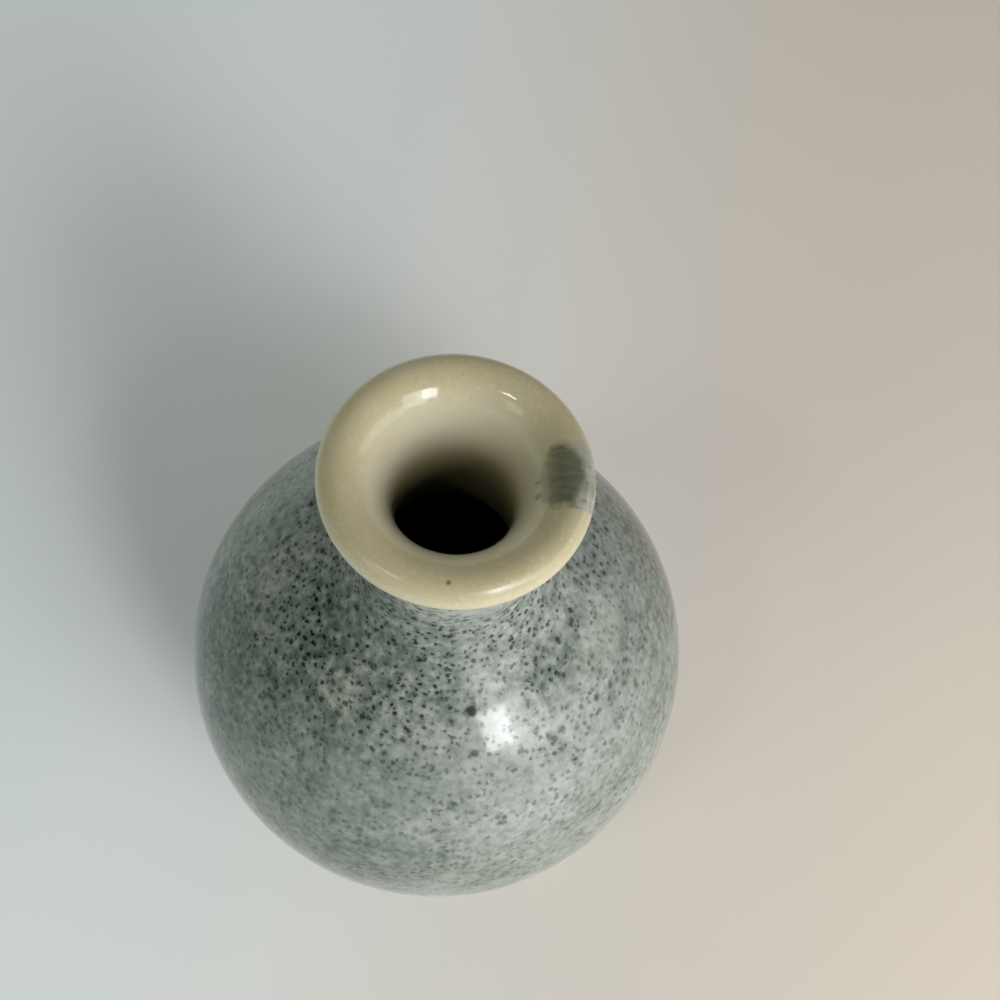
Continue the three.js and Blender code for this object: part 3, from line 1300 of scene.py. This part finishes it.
def pale_floor(stage):
    """Matt and pale, with painted light: cooler and brighter on one side, warmer on the other."""
    material, tree, shader, mm = new_material("pale floor with painted light")
    side = add_node(tree, "ShaderNodeSeparateXYZ", inputs={"Vector": mm}).outputs["X"]
    share = add_node(
        tree,
        "ShaderNodeMapRange",
        {"interpolation_type": "SMOOTHSTEP"},
        {"Value": side, "From Min": FLOOR_LIGHT_FADE[0], "From Max": FLOOR_LIGHT_FADE[1]},
    )
    tone = add_node(
        tree,
        "ShaderNodeMix",
        {"data_type": "RGBA"},
        {0: share.outputs[0], 6: (*stage.floor_in_cool_light, 1), 7: (*stage.floor_in_warm_light, 1)},
    )
    tree.links.new(tone.outputs[2], shader.inputs["Base Color"])
    shader.inputs["Roughness"].default_value = FLOOR_ROUGHNESS
    return material


# Lights: name, azimuth and height in degrees, distance, width and height in metres, watts, colour, and
# whether the glaze mirrors it.
LIGHTS = (
    ("bright_pane", (-52.3, 33.5), 1.0, (0.2, 0.34), 2.4, "FFFFFF", True),
    ("soft_pane", (-42.5, 34), 1.0, (0.12, 0.34), 0.3, "FFFFFF", True),
    ("window", (-39, 30), 1.0, (0.38, 0.5), 2.1, "FFFFFF", True),
    ("key", (-42, 18), 0.4, (0.34, 0.12), 0.7, "FFFFFF", False),
    ("side_pane", (-134, 33), 1.0, (0.25, 0.3), 0.42, "FFF4E0", True),
    ("small_lamp", (-129, 53), 1.0, (0.14, 0.06), 0.5, "FFFFFF", True),
    ("front_fill", (-126, 30), 1.0, (0.9, 0.5), 0.95, "F6FFDE", False),
    ("right_room", (0, 16), 1.0, (1.0, 0.4), 2.15, "FFF5E6", True),
    ("back_fill", (90, 18), 1.0, (1.0, 0.4), 1.8, "F5F9FF", False),
    ("left_fill", (140, 18), 1.0, (1.0, 0.5), 2.6, "F8FFF6", False),
)


def area_light(scene, name, direction, distance, size, watts, hex_colour, mirrored):
    """A soft rectangle of light that faces the belly from a direction given by azimuth and height."""
    azimuth, height = (math.radians(angle) for angle in direction)
    away = Vector(
        (
            math.cos(height) * math.cos(azimuth),
            math.cos(height) * math.sin(azimuth),
            math.sin(height),
        )
    )
    data = bpy.data.lights.new(name, "AREA")
    data.shape = "RECTANGLE"
    data.size, data.size_y = size
    data.energy = watts
    data.color = linear(hex_colour)
    lamp = bpy.data.objects.new(name, data)
    lamp.location = Vector((0, 0, LIP_TOP / 2)) + away * distance
    lamp.rotation_euler = (-away).to_track_quat("-Z", "Y").to_euler()
    lamp.visible_glossy = mirrored
    scene.collection.objects.link(lamp)


def camera_matrix(stage):
    """Camera that sees the lip's middle at its pixel, looking down and rolled as the photograph does."""
    flat = math.cos(stage.depression)
    up = Vector(
        (math.sin(stage.roll) * flat, math.cos(stage.roll) * flat, math.sin(stage.depression))
    )
    view = Vector((0, 0, -1))
    ahead = (view - view.dot(up) * up).normalized()
    turn = Matrix((ahead.cross(up), ahead, up)).transposed()
    across = (LIP_PIXEL[0] - PHOTO_SIDE / 2) / stage.lens_pixels
    above = (PHOTO_SIDE / 2 - LIP_PIXEL[1]) / stage.lens_pixels
    lip = Vector((across, above, -1)) * stage.distance
    shift = lip - turn @ Vector((0, 0, LIP_TOP))
    matrix = turn.transposed().to_4x4()
    matrix.translation = -(turn.transposed() @ shift)
    return matrix


def lay_floor(scene, stage):
    """A plain square floor under the vase."""
    half = stage.floor_side / 2
    corners = [(-half, -half, 0), (half, -half, 0), (half, half, 0), (-half, half, 0)]
    mesh = bpy.data.meshes.new("floor")
    mesh.from_pydata(corners, [], [(0, 1, 2, 3)])
    mesh.materials.append(pale_floor(stage))
    floor = bpy.data.objects.new("floor", mesh)
    scene.collection.objects.link(floor)


def light_room(scene, stage):
    """A faint even light all round, and the lamps and panes."""
    world = bpy.data.worlds.new("room")
    world.use_nodes = True
    background = world.node_tree.nodes["Background"]
    background.inputs["Color"].default_value = (1, 1, 1, 1)
    background.inputs["Strength"].default_value = stage.room
    scene.world = world
    for light in LIGHTS:
        area_light(scene, *light)


def place_camera(scene, stage):
    """The photograph's camera, and colours shown as they are."""
    data = bpy.data.cameras.new("camera")
    data.sensor_width = SENSOR
    data.lens = SENSOR * stage.lens_pixels / PHOTO_SIDE
    data.clip_start = CLIP_START
    camera = bpy.data.objects.new("camera", data)
    camera.matrix_world = camera_matrix(stage)
    scene.collection.objects.link(camera)
    scene.camera = camera
    scene.view_settings.view_transform = "Standard"


class VASE_OT_clay(bpy.types.Operator):
    """Turns the four clay sections"""

    bl_idname = "vase.clay"
    bl_label = "Clay sections"

    def execute(self, context):
        form = context.scene.bud_vase_form
        material = stoneware(context.scene.bud_vase_finish)
        for node_name in ("foot_ring", "lower_bowl", "shoulder_dome", "trumpet_neck"):
            step = form.lip_step if node_name == "foot_ring" else form.ring_step
            piece = turn_piece("turned_" + node_name, node_name, step, form)
            piece.data.materials.append(material)
        return {"FINISHED"}


class VASE_OT_speckled_glaze(bpy.types.Operator):
    """Dips the outside in the speckled glaze"""

    bl_idname = "vase.speckled_glaze"
    bl_label = "Speckled glaze"

    def execute(self, context):
        form = context.scene.bud_vase_form
        piece = turn_piece(
            "speckled_coat", "speckled_glaze", form.ring_step, form, form.glaze_line_wave
        )
        piece.data.materials.append(speckled_glaze(context.scene.bud_vase_finish))
        return {"FINISHED"}


class VASE_OT_lip_glaze(bpy.types.Operator):
    """Pours the cream glaze over the lip"""

    bl_idname = "vase.lip_glaze"
    bl_label = "Lip glaze"

    def execute(self, context):
        form = context.scene.bud_vase_form
        piece = turn_piece("lip_coat", "lip_glaze", form.lip_step, form)
        piece.data.materials.append(cream_glaze(context.scene.bud_vase_finish))
        return {"FINISHED"}


class VASE_OT_liner_glaze(bpy.types.Operator):
    """Lines the inside"""

    bl_idname = "vase.liner_glaze"
    bl_label = "Liner glaze"

    def execute(self, context):
        form = context.scene.bud_vase_form
        piece = turn_piece("liner_coat", "liner_glaze", form.ring_step, form)
        piece.data.materials.append(liner_glaze(context.scene.bud_vase_finish))
        return {"FINISHED"}


class VASE_OT_stage(bpy.types.Operator):
    """Lays the floor and sets the lights and the camera"""

    bl_idname = "vase.stage"
    bl_label = "Stage"

    def execute(self, context):
        scene = context.scene
        stage = scene.bud_vase_stage
        lay_floor(scene, stage)
        light_room(scene, stage)
        place_camera(scene, stage)
        return {"FINISHED"}


class VASE_PT_panel(bpy.types.Panel):
    """Lists the settings of the vase and the steps that make it"""

    bl_idname = "VASE_PT_panel"
    bl_label = "Bud Vase"
    bl_space_type = "VIEW_3D"
    bl_region_type = "UI"
    bl_category = "Bud Vase"

    def draw(self, context):
        scene = context.scene
        for settings in (scene.bud_vase_form, scene.bud_vase_finish, scene.bud_vase_stage):
            for name in settings.__annotations__:
                self.layout.prop(settings, name)
        for operator in OPERATORS:
            self.layout.operator(operator.bl_idname)


OPERATORS = (
    VASE_OT_clay,
    VASE_OT_speckled_glaze,
    VASE_OT_lip_glaze,
    VASE_OT_liner_glaze,
    VASE_OT_stage,
)
SETTINGS = (FormSettings, FinishSettings, StageSettings)


def register():
    """Adds the settings, the operators and the panel."""
    for cls in (*SETTINGS, *OPERATORS, VASE_PT_panel):
        bpy.utils.register_class(cls)
    bpy.types.Scene.bud_vase_form = PointerProperty(type=FormSettings)
    bpy.types.Scene.bud_vase_finish = PointerProperty(type=FinishSettings)
    bpy.types.Scene.bud_vase_stage = PointerProperty(type=StageSettings)


def unregister():
    """Takes them away again."""
    del bpy.types.Scene.bud_vase_stage
    del bpy.types.Scene.bud_vase_finish
    del bpy.types.Scene.bud_vase_form
    for cls in reversed((*SETTINGS, *OPERATORS, VASE_PT_panel)):
        bpy.utils.unregister_class(cls)


def main():
    """Makes the pieces and the stage."""
    register()
    bpy.ops.vase.clay()
    bpy.ops.vase.speckled_glaze()
    bpy.ops.vase.lip_glaze()
    bpy.ops.vase.liner_glaze()
    bpy.ops.vase.stage()


if __name__ == "__main__":
    main()
